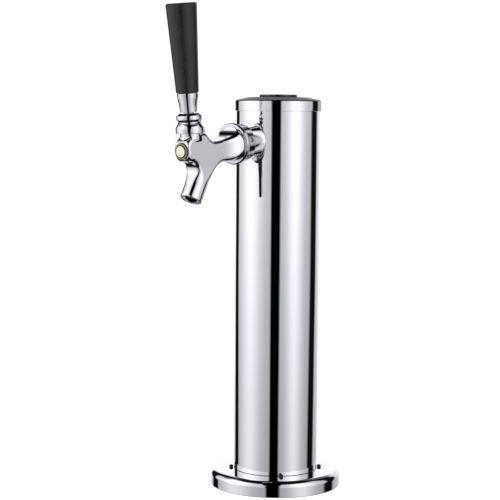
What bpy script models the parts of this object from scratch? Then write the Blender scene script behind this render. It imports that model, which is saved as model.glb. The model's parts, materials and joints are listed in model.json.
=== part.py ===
"""Beer tap tower: a round column on a flange, one lever faucet on a pitched shank, a lift-off cap.

Units are metres and +Z is up. The faucet points along -Y. The origin lies on the bench under the
middle of the whole object, so the column stands COLUMN_Y behind it.

Two empties carry the tilted pieces. Under "faucet_axis" the local Z runs along the shank towards
the nose, local Y is its upward normal and local X is across. Under "lever_pivot" the local Z runs
up the lever from the centre of its ball.
"""

import math

import bmesh
import bpy

GAP = 0.0003                    # between pieces that touch
COLUMN_STEPS = 40               # facets round the column, cap and flange
STEPS = 24                      # facets round the smaller pieces

# column, cap and flange, about the column's axis
COLUMN_R = 0.0381
COLUMN_WALL = 0.0012
COLUMN_TOP_Z = 0.3422
CAP_R = 0.0390
CAP_TOP_Z = 0.3573
CAP_RIM_Z = 0.3514              # where the cap's upright side turns in
CAP_DISC_R = 0.0170
FLANGE_R = 0.0590
FLANGE_TOP_Z = 0.0148
FLANGE_FILLET = 0.0058
FLANGE_WALL = 0.0035
SPIGOT_TOP_Z = 0.0245
LINE_HOLE_R = 0.0330
COLUMN_FOOT_Z = FLANGE_TOP_Z + GAP
GASKET_T = 0.0027
GASKET_W = 0.0057
SCREW_HALF_X = 0.0298           # the four screws stand at the corners of a rectangle
SCREW_HALF_Y = 0.0275
SCREW_HEAD_R = 0.0020
SCREW_SHANK_R = 0.0013

# shank and faucet, distances along the shank's axis from the column's axis
PITCH = math.radians(5.0)       # nose down
SHANK_Z = 0.3189                # height at which the shank's axis meets the column's axis
SHANK_R = 0.0127
SHANK_BORE_R = 0.0050
THREAD_R = 0.0143               # coupling thread, 1 1/8 inch
COLLAR_R = 0.0150
SHANK_SHOULDER = 0.0504
SHANK_FRONT = 0.0562
SHANK_REAR = -0.0100
NUT_FRONT = 0.0642
NUT_REAR = 0.0507
NUT_RIM_R = 0.0184
NUT_BODY_R = 0.0168
SPANNER_HOLES = 6
BELL_REAR = 0.0583
SEAT = 0.0635
FLARE_R = 0.0150                # in front of the nut
NECK_R = 0.0096
OUTLET_R = 0.0078               # wider mouth at the spout's tip
FINGER_SLOT = (0.0096, 0.0090, 0.0150)  # across, up and along, for the lever's finger
WEB_T = 0.0172
PIVOT_U = 0.1164                # lever ball, along the axis
PIVOT_V = 0.0142                # and above it
BOSS_R = 0.0098
NOSE_R = 0.0084
NOSE_FRONT = 0.1286
GUIDE_R = 0.0053                # front of the valve shaft
SHAFT_R = 0.0023

# lever, heights along its own axis from the ball's centre
LEVER_LEAN = PITCH + math.radians(1.3)
BALL_R = 0.0072
BONNET_R = 0.0125
DOME_R = 0.0134
CUP_R = 0.0140
LEVER_COLLAR_R = 0.0112
STUD_R = 0.0042
FINGER_R = 0.0018
FINGER_TIP = -0.0127
FERRULE_FOOT = 0.0184
GRIP_FOOT = 0.0348
GRIP_TOP = 0.1101
GRIP_FOOT_R = 0.0097
GRIP_TOP_R = 0.0134

PIVOT_FORWARD = PIVOT_U * math.cos(PITCH) + PIVOT_V * math.sin(PITCH)
PIVOT_Z = SHANK_Z - PIVOT_U * math.sin(PITCH) + PIVOT_V * math.cos(PITCH)
REACH = PIVOT_FORWARD + GRIP_TOP * math.sin(LEVER_LEAN) + GRIP_TOP_R * math.cos(LEVER_LEAN)
COLUMN_Y = (REACH - FLANGE_R) / 2

CHROME = ((0.86, 0.87, 0.89), 1.0, 0.08)
STEEL = ((0.62, 0.63, 0.65), 1.0, 0.30)
BRASS = ((0.78, 0.62, 0.34), 1.0, 0.28)
BLACK_PLASTIC = ((0.015, 0.015, 0.017), 0.0, 0.32)
RUBBER = ((0.03, 0.03, 0.03), 0.0, 0.75)
NYLON = ((0.80, 0.79, 0.74), 0.0, 0.50)


def clear_scene():
    for obj in list(bpy.data.objects):
        bpy.data.objects.remove(obj, do_unlink=True)


def new_collection(name):
    made = bpy.data.collections.new(name)
    bpy.context.scene.collection.children.link(made)
    return made


clear_scene()
PARTS = new_collection("beer_tap_tower")
CUTTERS = new_collection("cutters")


# ---- helpers -----------------------------------------------------------------------------------

def principled(name, finish):
    colour, metallic, roughness = finish
    material = bpy.data.materials.new(name)
    material.use_nodes = True
    shader = material.node_tree.nodes["Principled BSDF"]
    shader.inputs["Base Color"].default_value = (*colour, 1.0)
    shader.inputs["Metallic"].default_value = metallic
    shader.inputs["Roughness"].default_value = roughness
    return material


def empty(name, location, tilt):
    made = bpy.data.objects.new(name, None)
    made.location = location
    made.rotation_euler = (tilt, 0, 0)
    CUTTERS.objects.link(made)
    return made


def add(name, mesh, finish, parent=None, location=(0, 0, 0), rotation=(0, 0, 0)):
    """Link a mesh as a sub-part with its own material, or as a hidden cutter if finish is None."""
    made = bpy.data.objects.new(name, mesh)
    made.parent = parent
    made.location = location
    made.rotation_euler = rotation
    if finish is None:
        CUTTERS.objects.link(made)
        made.hide_render = True
        made.display_type = "WIRE"
    else:
        PARTS.objects.link(made)
        mesh.materials.append(principled(name, finish))
    return made


def smooth(mesh, angle=math.radians(35)):
    mesh.shade_smooth()
    mesh.set_sharp_from_angle(angle=angle)


def turned(name, profile, finish, parent=None, location=(0, 0, 0), steps=STEPS):
    """Turn a profile of (radius, height) points about Z.

    The points run down the outer side, then up the inner side. A profile that starts and ends on
    the axis is left open there; any other one is closed into a ring.
    """
    mesh = bpy.data.meshes.new(name)
    edges = [(i, i + 1) for i in range(len(profile) - 1)]
    if profile[0][0] > 0:
        edges.append((len(profile) - 1, 0))
    mesh.from_pydata([(radius, 0, height) for radius, height in profile], edges, [])
    made = add(name, mesh, finish, parent, location)
    screw = made.modifiers.new("turn", "SCREW")
    screw.axis = "Z"
    screw.steps = screw.render_steps = steps
    screw.use_merge_vertices = True
    screw.merge_threshold = 0.00001
    screw.use_smooth_shade = True
    return made


def arc(radius, first, last, points, centre=0.0):
    """(radius, height) points on a circle about (0, centre), by angle from the Z axis in degrees."""
    turn = (last - first) / (points - 1)
    angles = [math.radians(first + turn * i) for i in range(points)]
    return [(radius * math.sin(a), centre + radius * math.cos(a)) for a in angles]


def cylinder_mesh(name, radius, length, sides=STEPS, end_radius=None):
    """A cylinder or cone about Z, from 0 to its length."""
    mesh = bpy.data.meshes.new(name)
    shape = bmesh.new()
    top = radius if end_radius is None else end_radius
    bmesh.ops.create_cone(shape, cap_ends=True, segments=sides, radius1=radius, radius2=top, depth=length)
    bmesh.ops.translate(shape, vec=(0, 0, length / 2), verts=shape.verts)
    shape.to_mesh(mesh)
    shape.free()
    smooth(mesh)
    return mesh


def rod_cutter(name, radius, first, last, parent, offset=0.0, sides=STEPS):
    """A cylindrical cutter along the parent's Z, from first to last, raised by offset."""
    return add(name, cylinder_mesh(name, radius, last - first, sides), None, parent, (0, offset, first))


def box_cutter(name, size, parent, location):
    mesh = bpy.data.meshes.new(name)
    shape = bmesh.new()
    bmesh.ops.create_cube(shape, size=1.0)
    bmesh.ops.scale(shape, vec=size, verts=shape.verts)
    shape.to_mesh(mesh)
    shape.free()
    return add(name, mesh, None, parent, location)


def combine(target, tool, operation):
    joint = target.modifiers.new(tool.name, "BOOLEAN")
    joint.operation = operation
    joint.solver = "EXACT"
    joint.object = tool


def swept(name, route, radius, parent, sides=12):
    """A round bar along a smooth route of (forward, up) points in the parent's Z and Y."""
    curve = bpy.data.curves.new(name, "CURVE")
    curve.dimensions = "3D"
    curve.bevel_depth = radius
    curve.bevel_resolution = (sides - 4) // 2
    curve.use_fill_caps = True
    curve.resolution_u = 3
    spline = curve.splines.new("BEZIER")
    spline.bezier_points.add(len(route) - 1)
    for point, (forward, up) in zip(spline.bezier_points, route):
        point.co = (0, up, forward)
        point.handle_left_type = point.handle_right_type = "AUTO"
    bar = add(name, curve, None, parent)
    bpy.context.view_layer.update()
    mesh = bpy.data.meshes.new_from_object(bar.evaluated_get(bpy.context.evaluated_depsgraph_get()))
    bpy.data.objects.remove(bar)
    shape = bmesh.new()
    shape.from_mesh(mesh)
    bmesh.ops.remove_doubles(shape, verts=shape.verts, dist=0.00001)
    bmesh.ops.recalc_face_normals(shape, faces=shape.faces)
    shape.to_mesh(mesh)
    shape.free()
    smooth(mesh)
    return add(name, mesh, None, parent)


def plate(name, outline, thickness, parent):
    """A flat plate in the parent's Y-Z plane, from an outline of (forward, up) points."""
    curve = bpy.data.curves.new(name, "CURVE")
    curve.dimensions = "2D"
    curve.fill_mode = "BOTH"
    curve.extrude = thickness / 2
    spline = curve.splines.new("POLY")
    spline.points.add(len(outline) - 1)
    for point, (forward, up) in zip(spline.points, outline):
        point.co = (forward, up, 0, 1)
    spline.use_cyclic_u = True
    flat = add(name, curve, None)
    bpy.context.view_layer.update()
    mesh = bpy.data.meshes.new_from_object(flat.evaluated_get(bpy.context.evaluated_depsgraph_get()))
    bpy.data.objects.remove(flat)
    shape = bmesh.new()
    shape.from_mesh(mesh)
    bmesh.ops.remove_doubles(shape, verts=shape.verts, dist=0.00001)
    for vert in shape.verts:
        vert.co = (-vert.co.z, vert.co.y, vert.co.x)
    bmesh.ops.recalc_face_normals(shape, faces=shape.faces)
    shape.to_mesh(mesh)
    shape.free()
    return add(name, mesh, None, parent)


# ---- tower -------------------------------------------------------------------------------------

COLUMN = (0, COLUMN_Y, 0)
FAUCET = empty("faucet_axis", (0, COLUMN_Y, SHANK_Z), math.pi / 2 + PITCH)
LEVER = empty("lever_pivot", (0, COLUMN_Y - PIVOT_FORWARD, PIVOT_Z), LEVER_LEAN)
INNER_R = COLUMN_R - COLUMN_WALL


def column_cylinder(name, radius):
    """The column's own shape as a cutter, for saddle-shaped ends."""
    return add(name, cylinder_mesh(name, radius, COLUMN_TOP_Z, COLUMN_STEPS), None, None, COLUMN)


def column_tube():
    tube = turned("column_tube", [(COLUMN_R, COLUMN_TOP_Z), (COLUMN_R, COLUMN_FOOT_Z),
                                  (INNER_R, COLUMN_FOOT_Z), (INNER_R, COLUMN_TOP_Z)],
                  CHROME, None, COLUMN, COLUMN_STEPS)
    combine(tube, rod_cutter("shank_hole", SHANK_R + GAP, 0.025, 0.055, FAUCET), "DIFFERENCE")


def base_flange():
    """A hollow ring that stands on its rim, with a ledge inside the rim for the gasket."""
    edge = FLANGE_TOP_Z - FLANGE_FILLET
    spigot_r = INNER_R - GAP
    rim_r = FLANGE_R - FLANGE_WALL
    ledge_r, ledge_z = rim_r - GASKET_W - 2 * GAP, GASKET_T + GAP
    under = FLANGE_TOP_Z - FLANGE_WALL
    fillet = [(FLANGE_R - FLANGE_FILLET + r, edge - 0.0004 + z)
              for r, z in arc(FLANGE_FILLET, 10, 90, 6)]
    profile = [(spigot_r, SPIGOT_TOP_Z), (spigot_r, FLANGE_TOP_Z), *fillet,
               (FLANGE_R, 0), (rim_r, 0), (rim_r, ledge_z), (ledge_r, ledge_z),
               (ledge_r, under - 0.003), (ledge_r - 0.003, under),
               (LINE_HOLE_R, under), (LINE_HOLE_R, SPIGOT_TOP_Z)]
    flange = turned("base_flange", profile, CHROME, None, COLUMN, COLUMN_STEPS)
    for number, (x, y) in enumerate(screw_places(), 1):
        name = f"screw_hole_{number}"
        hole = add(name, cylinder_mesh(name, SCREW_SHANK_R + GAP, 0.012, 12), None, None, (x, y, 0.010))
        combine(flange, hole, "DIFFERENCE")


def base_gasket():
    outer = FLANGE_R - FLANGE_WALL - GAP
    inner = outer - GASKET_W
    turned("base_gasket", [(outer, GASKET_T), (outer, 0), (inner, 0), (inner, GASKET_T)],
           RUBBER, None, COLUMN, COLUMN_STEPS)


def screw_places():
    return [(side_x * SCREW_HALF_X, COLUMN_Y + side_y * SCREW_HALF_Y)
            for side_x, side_y in ((1, -1), (1, 1), (-1, 1), (-1, -1))]


def mounting_screws():
    seat = FLANGE_TOP_Z + GAP
    head = [(0, seat + 0.0021), (SCREW_HEAD_R * 0.55, seat + 0.0019),
            (SCREW_HEAD_R * 0.92, seat + 0.0012), (SCREW_HEAD_R, seat + 0.0004), (SCREW_HEAD_R, seat)]
    tip = [(SCREW_SHANK_R, seat), (SCREW_SHANK_R, 0.0040), (0, 0.0020)]
    for number, (x, y) in enumerate(screw_places(), 1):
        turned(f"mounting_screw_{number}", head + tip, STEEL, None, (x, y, 0), 16)


def top_cap():
    seam = COLUMN_TOP_Z + GAP
    lip_r = INNER_R - 0.0006
    plug_r = lip_r - 0.0017
    bore_r = plug_r - 0.0026
    disc_foot = CAP_TOP_Z - 0.0019
    outside = [(0, CAP_TOP_Z), (CAP_DISC_R - 0.0016, CAP_TOP_Z), (CAP_DISC_R - 0.0005, CAP_TOP_Z - 0.0006),
               (CAP_DISC_R, disc_foot), (0.0270, disc_foot - 0.0003), (0.0330, disc_foot - 0.0014),
               (CAP_R - 0.0010, CAP_RIM_Z + 0.0006), (CAP_R, CAP_RIM_Z - 0.0004), (CAP_R, seam)]
    plug = [(lip_r, seam), (lip_r, seam - 0.0030), (plug_r, seam - 0.0030), (plug_r, seam - 0.0070),
            (lip_r, seam - 0.0070), (lip_r, seam - 0.0085), (bore_r, seam - 0.0085)]
    inside = [(bore_r, CAP_RIM_Z - 0.0030), (0.020, disc_foot - 0.0034), (0, disc_foot - 0.0030)]
    turned("top_cap", outside + plug + inside, CHROME, None, COLUMN, COLUMN_STEPS)
    ring_r = (plug_r + INNER_R) / 2
    wire_r = (INNER_R - plug_r) / 2 - GAP
    ring = [(ring_r + r, seam - 0.0050 + z) for r, z in arc(wire_r, 0, 300, 6)]
    turned("cap_seal", ring, RUBBER, None, COLUMN, COLUMN_STEPS)


# ---- shank and what holds it -------------------------------------------------------------------

def shank():
    rear_r = SHANK_R - 0.0023
    turned("shank", [(THREAD_R, SHANK_FRONT), (THREAD_R, SHANK_SHOULDER), (SHANK_R, SHANK_SHOULDER),
                     (SHANK_R, 0.0030), (rear_r, 0.0030), (rear_r, SHANK_REAR),
                     (SHANK_BORE_R, SHANK_REAR), (SHANK_BORE_R, 0.0440), (0.0084, 0.0460),
                     (0.0084, SHANK_FRONT)], STEEL, FAUCET)


def shank_collar():
    front = SHANK_SHOULDER - GAP
    collar = turned("shank_collar", [(COLLAR_R - 0.0005, front), (COLLAR_R, front - 0.0005),
                                     (COLLAR_R, 0.0250), (SHANK_R + GAP, 0.0250),
                                     (SHANK_R + GAP, front)], CHROME, FAUCET, steps=36)
    combine(collar, column_cylinder("collar_saddle", COLUMN_R + GAP), "DIFFERENCE")


def shank_fixings():
    washer = turned("inner_saddle_washer", [(0.0175, 0.0480), (0.0175, 0.0295), (SHANK_R + GAP, 0.0295),
                                            (SHANK_R + GAP, 0.0480)], STEEL, FAUCET)
    combine(washer, column_cylinder("washer_saddle", INNER_R - GAP), "INTERSECT")
    nut = add("shank_lock_nut", cylinder_mesh("shank_lock_nut", 0.0185, 0.0080, 6), BRASS, FAUCET,
              (0, 0, 0.0212))
    combine(nut, rod_cutter("lock_nut_bore", SHANK_R + GAP, 0.015, 0.035, FAUCET), "DIFFERENCE")


def tailpiece():
    """A barbed elbow behind the shank, with its washer and its hexagon nut."""
    face = SHANK_REAR - GAP
    flange_front = face - 0.0015 - GAP
    tube_r, bore_r, leg = 0.0043, 0.0026, -0.0235
    turned("tailpiece_washer", [(0.0088, face), (0.0088, face - 0.0015), (0.0054, face - 0.0015),
                                (0.0054, face)], NYLON, FAUCET)
    elbow = turned("tailpiece", [(0, flange_front), (0.0088, flange_front), (0.0088, flange_front - 0.0025),
                                 (0, flange_front - 0.0025)], STEEL, FAUCET)
    start = flange_front - 0.0010
    route = [(start, 0), (leg + 0.0055, 0), (leg + 0.0012, -0.0014), (leg, -0.0060), (leg, -0.0330)]
    combine(elbow, swept("elbow_tube", route, tube_r, FAUCET, 8), "UNION")
    for number in range(3):
        name = f"elbow_barb_{number + 1}"
        barb = add(name, cylinder_mesh(name, 0.0056, 0.0040, 12, tube_r - 0.0002), None, FAUCET,
                   (0, -0.0170 - 0.0050 * number, leg), (math.pi / 2, 0, 0))
        combine(elbow, barb, "UNION")
    through = [(flange_front + 0.002, 0), *route[1:-1], (leg, -0.0350)]
    combine(elbow, swept("elbow_bore", through, bore_r, FAUCET, 8), "DIFFERENCE")
    rear_r = SHANK_R - 0.0023 + GAP
    lip = flange_front - 0.0025 - GAP
    nut = add("tailpiece_nut", cylinder_mesh("tailpiece_nut", 0.0145, 0.0160, 6), BRASS, FAUCET,
              (0, 0, lip - 0.0030))
    combine(nut, rod_cutter("tail_nut_bore", rear_r, lip, 0.010, FAUCET), "DIFFERENCE")
    combine(nut, rod_cutter("tail_nut_mouth", tube_r + 0.0006, -0.030, 0.010, FAUCET), "DIFFERENCE")


# ---- faucet ------------------------------------------------------------------------------------

def coupling_nut():
    inner = THREAD_R + GAP
    lip = THREAD_R - 0.0007
    profile = [(lip + 0.0004, NUT_FRONT), (0.0174, NUT_FRONT), (NUT_RIM_R, NUT_FRONT - 0.0012),
               (NUT_RIM_R, NUT_FRONT - 0.0038), (NUT_BODY_R, NUT_FRONT - 0.0056),
               (NUT_BODY_R, NUT_REAR + 0.0008), (NUT_BODY_R - 0.0008, NUT_REAR), (inner, NUT_REAR),
               (inner, 0.0609), (lip, 0.0609), (lip, NUT_FRONT - 0.0004)]
    nut = turned("coupling_nut", profile, CHROME, FAUCET, steps=36)
    for number in range(SPANNER_HOLES):
        turn = math.radians(12 + 360 / SPANNER_HOLES * number)
        depth_r = NUT_BODY_R - 0.0015
        name = f"spanner_hole_{number + 1}"
        hole = add(name, cylinder_mesh(name, 0.0022, 0.006, 8), None, FAUCET,
                   (depth_r * math.cos(turn), depth_r * math.sin(turn), NUT_REAR + 0.0046),
                   (0, math.pi / 2, turn))
        combine(nut, hole, "DIFFERENCE")
    rear = SHANK_FRONT + GAP
    front = BELL_REAR - GAP
    turned("coupling_washer", [(0.0141, front), (0.0141, rear), (0.0096, rear), (0.0096, front)],
           NYLON, FAUCET)


def faucet_body():
    """Flared end with its flange, bent neck and spout, web, lever boss and nose, joined, then bored."""
    flare = [(0, 0.0752), (0.0048, 0.0752), (0.0069, 0.0717), (0.0087, 0.0691), (0.0107, 0.0671),
             (0.0127, 0.0659), (FLARE_R, 0.0650), (FLARE_R, NUT_FRONT + GAP),
             (0.0133, NUT_FRONT + GAP), (0.0133, 0.0606)]
    body = turned("faucet_body", [*flare, (THREAD_R, 0.0606), (THREAD_R, BELL_REAR), (0, BELL_REAR)],
                  CHROME, FAUCET)
    route = [(0.0640, -0.0030), (0.0720, -0.0033), (0.0840, -0.0039), (0.0940, -0.0062),
             (0.1013, -0.0105), (0.1055, -0.0165), (0.1084, -0.0225), (0.1123, -0.0290),
             (0.1209, -0.0424)]
    web = [(0.088, 0.0034), (0.0945, 0.0046), (0.0990, 0.0070), (0.1020, 0.0098), (0.1045, 0.0136),
           (0.1200, 0.0136), (0.1262, 0.0070), (0.1268, 0.0045), (0.1268, -0.0050), (0.1250, -0.0074),
           (0.1195, -0.0090), (0.1162, -0.0116), (0.1148, -0.0160), (0.1100, -0.0200), (0.0980, -0.0120)]
    combine(body, swept("neck_and_spout", route, NECK_R, FAUCET), "UNION")
    combine(body, plate("web_plate", web, WEB_T, FAUCET), "UNION")
    upright = (-math.pi / 2, 0, 0)
    boss_foot, boss_top = 0.0060, PIVOT_V + 0.0033
    boss = add("boss", cylinder_mesh("boss", BOSS_R, boss_top - boss_foot, 32), None, FAUCET,
               (0, boss_foot, PIVOT_U), upright)
    combine(body, boss, "UNION")
    combine(body, rod_cutter("nose", NOSE_R, PIVOT_U - 0.006, NOSE_FRONT, FAUCET), "UNION")

    passage = [(0.0660, -0.0020), (0.0740, -0.0027), (0.0860, -0.0030), (0.0950, -0.0056),
               *route[4:-1], (0.1209, -0.0424), (0.1262, -0.0508)]
    for tool in (rod_cutter("washer_chamber", 0.0094, 0.050, SEAT, FAUCET),
                 rod_cutter("seat_mouth", 0.0052, 0.050, 0.0700, FAUCET),
                 swept("passage", passage, 0.0055, FAUCET),
                 swept("outlet", [(0.1182, -0.0382), (0.1262, -0.0506)], OUTLET_R, FAUCET),
                 box_cutter("finger_slot", FINGER_SLOT, FAUCET, (0, FINGER_SLOT[1] / 2, PIVOT_U)),
                 rod_cutter("rod_bore", SHAFT_R + 0.0005, 0.0650, 0.1000, FAUCET),
                 rod_cutter("guide_bore", GUIDE_R + GAP, 0.0985, 0.1400, FAUCET),
                 rod_cutter("bushing_seat", 0.0074, NOSE_FRONT - 0.0013, 0.1400, FAUCET)):
        combine(body, tool, "DIFFERENCE")
    chamber = add("ball_chamber", cylinder_mesh("ball_chamber", 0.0086, 0.030), None, FAUCET,
                  (0, PIVOT_V - 0.0059, PIVOT_U), upright)
    combine(body, chamber, "DIFFERENCE")


def nose_bushing():
    rear, front = NOSE_FRONT - 0.0013 + GAP, NOSE_FRONT + 0.0010
    turned("nose_bushing", [(0.0067, front), (0.0071, front - 0.0004), (0.0071, rear),
                            (GUIDE_R + GAP, rear), (GUIDE_R + GAP, front)], BRASS, FAUCET)


def valve_shaft():
    """Guide at the nose with the slot for the lever's finger, thin rod, shoulder and thread."""
    profile = [(0, NOSE_FRONT + 0.0016), (GUIDE_R - 0.0005, NOSE_FRONT + 0.0016),
               (GUIDE_R, NOSE_FRONT + 0.0011), (GUIDE_R, 0.1075), (SHAFT_R, 0.1060), (SHAFT_R, 0.0672),
               (0.0036, 0.0665), (0.0036, SEAT), (0.0020, SEAT), (0.0020, 0.0562), (0, 0.0562)]
    shaft = turned("valve_shaft", profile, BRASS, FAUCET)
    slot = box_cutter("shaft_slot", (0.0052, 0.0100, 0.0064), FAUCET, (0, 0.0033, 0.11675))
    combine(shaft, slot, "DIFFERENCE")
    turned("seat_washer", [(0.0076, SEAT - GAP), (0.0076, SEAT - 0.0029), (0.0023, SEAT - 0.0029),
                           (0.0023, SEAT - GAP)], RUBBER, FAUCET)
    nut = add("shaft_nut", cylinder_mesh("shaft_nut", 0.0052, 0.0030, 6), BRASS, FAUCET,
              (0, 0, SEAT - 0.0062))
    combine(nut, rod_cutter("shaft_nut_bore", 0.0023, 0.050, 0.065, FAUCET, sides=16), "DIFFERENCE")


# ---- lever -------------------------------------------------------------------------------------

def upright_in_faucet(name, profile, finish, steps=STEPS):
    """A turned piece about the boss's axis, with heights from the ball's centre."""
    made = turned(name, profile, finish, FAUCET, (0, PIVOT_V, PIVOT_U), steps)
    made.rotation_euler = (-math.pi / 2, 0, 0)
    return made


def ball_seals():
    """Lower washer and upper friction ring, both hollowed to the ball with a gap."""
    cup = BALL_R + GAP
    lower = [(0.0083, -0.0022), (0.0083, -0.0056), (0.0057, -0.0056)]
    upright_in_faucet("ball_washer", lower + arc(cup, 130.5, 106, 4), NYLON)
    upper = [(0.0078, 0.0056), (0.0095, 0.0056), (0.0095, 0.0036)]
    upright_in_faucet("friction_ring", upper + arc(cup, 61, 57, 2), NYLON)


def lever_bonnet():
    inside_r, foot, shoulder = 0.0101, 0.0004, 0.0060
    edge = math.degrees(math.asin(BONNET_R / DOME_R))
    mouth = math.degrees(math.asin(0.0100 / DOME_R))
    profile = [*arc(DOME_R, mouth, edge, 5), (BONNET_R, foot + 0.0005), (BONNET_R - 0.0005, foot),
               (inside_r, foot), (inside_r, shoulder), (0.0081, shoulder)]
    upright_in_faucet("lever_bonnet", profile, CHROME, 32)


def lever():
    """Threaded stud, slim neck, ball and finger in one turned piece."""
    neck_r, tip_r = 0.0030, 0.0022
    top = math.degrees(math.asin(neck_r / BALL_R))
    bottom = 180 - math.degrees(math.asin(FINGER_R / BALL_R))
    finger_foot = FINGER_TIP + math.sqrt(tip_r**2 - FINGER_R**2)
    tip_start = math.degrees(math.acos((finger_foot - FINGER_TIP) / tip_r))
    profile = [(0, 0.0500), (STUD_R - 0.0006, 0.0500), (STUD_R, 0.0494), (STUD_R, 0.0142),
               (neck_r, 0.0134), *arc(BALL_R, top, bottom, 8),
               *arc(tip_r, tip_start, 180, 5, FINGER_TIP)[:-1], (0, FINGER_TIP - tip_r)]
    turned("lever", profile, STEEL, LEVER, steps=18)


def lever_collar():
    rim = math.degrees(math.asin((LEVER_COLLAR_R - 0.0005) / CUP_R))
    bore = STUD_R + GAP
    hub = math.degrees(math.asin(bore / CUP_R))
    top = FERRULE_FOOT - 0.0007
    profile = [(bore, top), (0.0090, top), (0.0105, top - 0.0007), (0.0111, top - 0.0020),
               (LEVER_COLLAR_R, 0.0125), (0.0111, 0.0100), *arc(CUP_R, rim, hub, 5)]
    turned("lever_collar", profile, CHROME, LEVER, steps=32)


def handle():
    bore = STUD_R + GAP
    ferrule_top = GRIP_FOOT - GAP
    turned("handle_ferrule", [(bore, ferrule_top), (GRIP_FOOT_R - 0.0001, ferrule_top),
                              (0.0089, ferrule_top - 0.006), (0.0082, 0.0225), (0.0078, FERRULE_FOOT),
                              (bore, FERRULE_FOOT)], CHROME, LEVER)
    insert_r = 0.0065
    turned("handle_insert", [(insert_r, 0.0520), (insert_r, 0.0351), (bore, 0.0351), (bore, 0.0520)],
           BRASS, LEVER)
    hole_r = insert_r + GAP
    turned("handle_grip", [(0, GRIP_TOP), (GRIP_TOP_R - 0.0020, GRIP_TOP),
                           (GRIP_TOP_R - 0.0006, GRIP_TOP - 0.0006), (GRIP_TOP_R, GRIP_TOP - 0.0022),
                           (GRIP_FOOT_R, GRIP_FOOT), (hole_r, GRIP_FOOT), (hole_r, 0.0540),
                           (0, 0.0560)], BLACK_PLASTIC, LEVER)


for build in (column_tube, base_flange, base_gasket, mounting_screws, top_cap, shank, shank_collar,
              shank_fixings, tailpiece, coupling_nut, faucet_body, nose_bushing, valve_shaft,
              ball_seals, lever_bonnet, lever, lever_collar, handle):
    build()
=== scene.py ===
"""The looks of the beer tap tower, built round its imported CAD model.

Lengths in the profiles and fields below are millimetres in three local frames, which are worked
out from the CAD model: COLUMN stands on the bench under the column with Z up, FAUCET has Z along
the shank towards the nose and Y as its upward normal, and LEVER has Z up the lever from its pivot.
"""

import json
import math

import bpy
import numpy as np
from mathutils import Matrix, Vector


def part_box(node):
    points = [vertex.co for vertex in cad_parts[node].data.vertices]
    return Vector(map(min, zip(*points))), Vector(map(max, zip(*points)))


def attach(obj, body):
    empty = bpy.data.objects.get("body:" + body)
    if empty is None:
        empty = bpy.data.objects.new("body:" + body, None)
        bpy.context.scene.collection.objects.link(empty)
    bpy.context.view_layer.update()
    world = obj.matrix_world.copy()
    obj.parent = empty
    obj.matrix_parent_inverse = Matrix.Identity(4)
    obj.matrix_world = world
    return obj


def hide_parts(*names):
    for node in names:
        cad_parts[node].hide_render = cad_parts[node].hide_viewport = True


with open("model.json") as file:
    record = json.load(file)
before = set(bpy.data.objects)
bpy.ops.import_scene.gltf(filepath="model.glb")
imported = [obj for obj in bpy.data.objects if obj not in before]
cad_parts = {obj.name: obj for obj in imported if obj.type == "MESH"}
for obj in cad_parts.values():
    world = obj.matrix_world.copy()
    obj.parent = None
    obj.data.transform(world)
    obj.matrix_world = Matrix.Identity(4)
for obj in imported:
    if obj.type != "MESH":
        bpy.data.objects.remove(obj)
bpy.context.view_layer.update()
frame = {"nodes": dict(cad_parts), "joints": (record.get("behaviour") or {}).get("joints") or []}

MM = 0.001


# ---- local frames ------------------------------------------------------------------------------

def joint(name):
    return next(j for j in frame["joints"] if j["name"] == name)


def frame_matrix(origin, z_axis):
    """Millimetres to metres, with Z along z_axis, X across the object and Y the normal to both."""
    x_axis = Vector((1, 0, 0))
    z_axis = Vector(z_axis).normalized()
    y_axis = z_axis.cross(x_axis)
    turn = Matrix((x_axis, y_axis, z_axis)).transposed().to_4x4()
    return Matrix.Translation(origin) @ turn @ Matrix.Scale(MM, 4)


COLUMN_LOW, COLUMN_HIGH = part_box("column_tube")
COLUMN_XY = (COLUMN_LOW + COLUMN_HIGH) / 2
COLUMN = frame_matrix((0, COLUMN_XY.y, 0), (0, 0, 1))
COLUMN_R = (COLUMN_HIGH.x - COLUMN_LOW.x) / 2 / MM

PIVOT = Vector(joint("lever_tilt")["pos_m"])
FORWARD = -Vector(joint("shaft_slide")["axis"]).normalized()
UPWARD = FORWARD.cross(Vector((1, 0, 0)))
PIVOT_U = 116.4                 # the lever's ball along the shank's axis, from the column's axis
PIVOT_V = 14.2                  # and above it
FAUCET = frame_matrix(PIVOT - FORWARD * PIVOT_U * MM - UPWARD * PIVOT_V * MM, FORWARD)
BOSS = frame_matrix(PIVOT, UPWARD)

PITCH = math.atan2(-FORWARD.z, -FORWARD.y)
LEVER_LEAN = PITCH + math.radians(1.3)
LEVER = frame_matrix(PIVOT, (0, -math.sin(LEVER_LEAN), math.cos(LEVER_LEAN)))


# ---- camera, floor and studio light ------------------------------------------------------------

VIEW_AZIMUTH = math.radians(39.5)
VIEW_YAW = math.radians(0.99)
VIEW_PITCH = math.radians(5.066)
VIEW_ROLL = math.radians(0.41)
VIEW_DISTANCE = 1.4264          # from the column's axis, level with the floor
VIEW_HEIGHT = 0.3423
VIEW_LENS = 112.85


def make_camera():
    data = bpy.data.cameras.new("camera")
    data.lens = VIEW_LENS
    data.sensor_width = 36
    data.clip_end = 20
    camera = bpy.data.objects.new("camera", data)
    bpy.context.scene.collection.objects.link(camera)
    camera.location = (VIEW_DISTANCE * math.sin(VIEW_AZIMUTH),
                       COLUMN_XY.y - VIEW_DISTANCE * math.cos(VIEW_AZIMUTH), VIEW_HEIGHT)
    turn = (Matrix.Rotation(VIEW_AZIMUTH + VIEW_YAW, 3, "Z")
            @ Matrix.Rotation(math.pi / 2 - VIEW_PITCH, 3, "X")
            @ Matrix.Rotation(VIEW_ROLL, 3, "Z"))
    camera.rotation_euler = turn.to_euler()
    bpy.context.scene.camera = camera


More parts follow.
